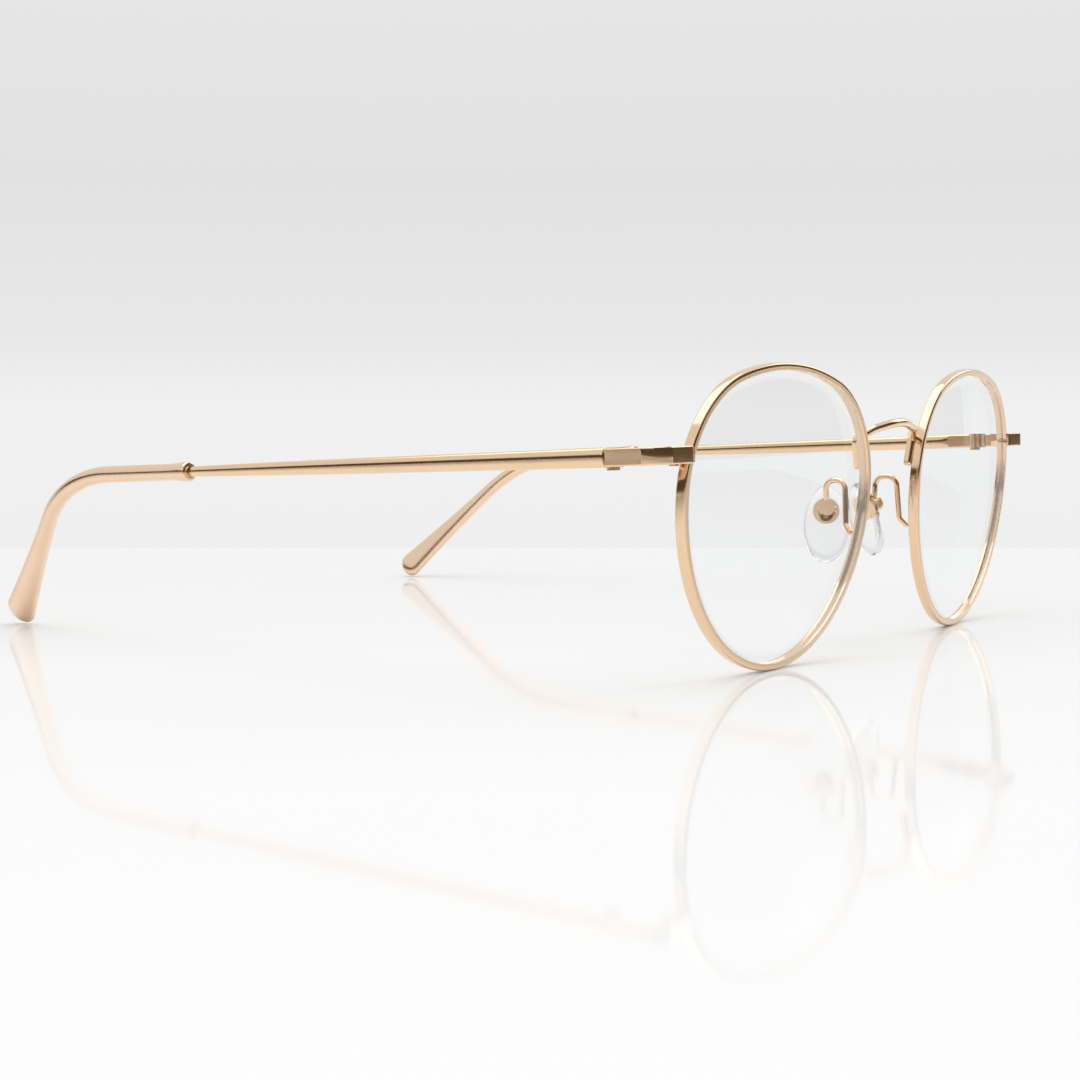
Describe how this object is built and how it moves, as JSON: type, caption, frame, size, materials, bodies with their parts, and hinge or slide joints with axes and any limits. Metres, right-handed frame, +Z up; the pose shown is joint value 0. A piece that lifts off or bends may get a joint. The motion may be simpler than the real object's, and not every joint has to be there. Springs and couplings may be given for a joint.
{
  "type": "eyeglasses",
  "caption": "Thin metal full-rim spectacles with clear lenses, a wire bridge, adjustable nose pads and temples that fold on screwed hinges.",
  "frame": {"origin": "on the table under the middle of the open pair", "axes": "+Z up from the table that the rims and the temple tips stand on; the front faces -Y and the temples run to +Y; +X is the wearer's left"},
  "size_m": [0.1388, 0.1462, 0.0452],
  "materials": {
    "gold_wire": "polished rose-gold plate",
    "gold_bar": "polished rose-gold plate",
    "gold_temple": "polished rose-gold plate",
    "gold_tip": "satin rose-gold plate",
    "screw_steel": "polished",
    "lens_clear": "clear, coated",
    "pad_silicone": "clear silicone"
  },
  "bodies": {
    "front": {"bridge": "gold_wire", "rim_right": "gold_wire", "lens_right": "lens_clear", "end_piece_right": "gold_bar", "closing_block_upper_right": "gold_bar", "closing_block_lower_right": "gold_bar", "closing_screw_right": "screw_steel", "hinge_front_right": "gold_bar", "hinge_screw_right": "screw_steel", "pad_box_right": "gold_wire", "pad_arm_right": "gold_wire", "pad_screw_right": "screw_steel", "rim_left": "gold_wire", "lens_left": "lens_clear", "end_piece_left": "gold_bar", "closing_block_upper_left": "gold_bar", "closing_block_lower_left": "gold_bar", "closing_screw_left": "screw_steel", "hinge_front_left": "gold_bar", "hinge_screw_left": "screw_steel", "pad_box_left": "gold_wire", "pad_arm_left": "gold_wire", "pad_screw_left": "screw_steel"},
    "temple_right": {"temple_right": "gold_temple", "temple_tip_right": "gold_tip", "hinge_temple_right": "gold_bar"},
    "nose_pad_right": {"nose_pad_right": "pad_silicone", "pad_core_right": "gold_wire"},
    "temple_left": {"temple_left": "gold_temple", "temple_tip_left": "gold_tip", "hinge_temple_left": "gold_bar"},
    "nose_pad_left": {"nose_pad_left": "pad_silicone", "pad_core_left": "gold_wire"}
  },
  "joints": [
    {"name": "temple_right_fold", "type": "hinge", "parent": "front", "child": "temple_right", "pos_m": [-0.06585, -0.05926, 0.03199], "axis": [0, -0.0448, -0.999], "range_deg": [0, 76]},
    {"name": "temple_left_fold", "type": "hinge", "parent": "front", "child": "temple_left", "pos_m": [0.06585, -0.05926, 0.03199], "axis": [0, 0.0448, 0.999], "range_deg": [0, 88]},
    {"name": "nose_pad_right_rock", "type": "hinge", "parent": "front", "child": "nose_pad_right", "pos_m": [-0.009, -0.06396, 0.02244], "axis": [0.4695, -0.8829, 0], "range_deg": [-8, 8]},
    {"name": "nose_pad_left_rock", "type": "hinge", "parent": "front", "child": "nose_pad_left", "pos_m": [0.009, -0.06396, 0.02244], "axis": [0.4695, 0.8829, 0], "range_deg": [-8, 8]}
  ]
}
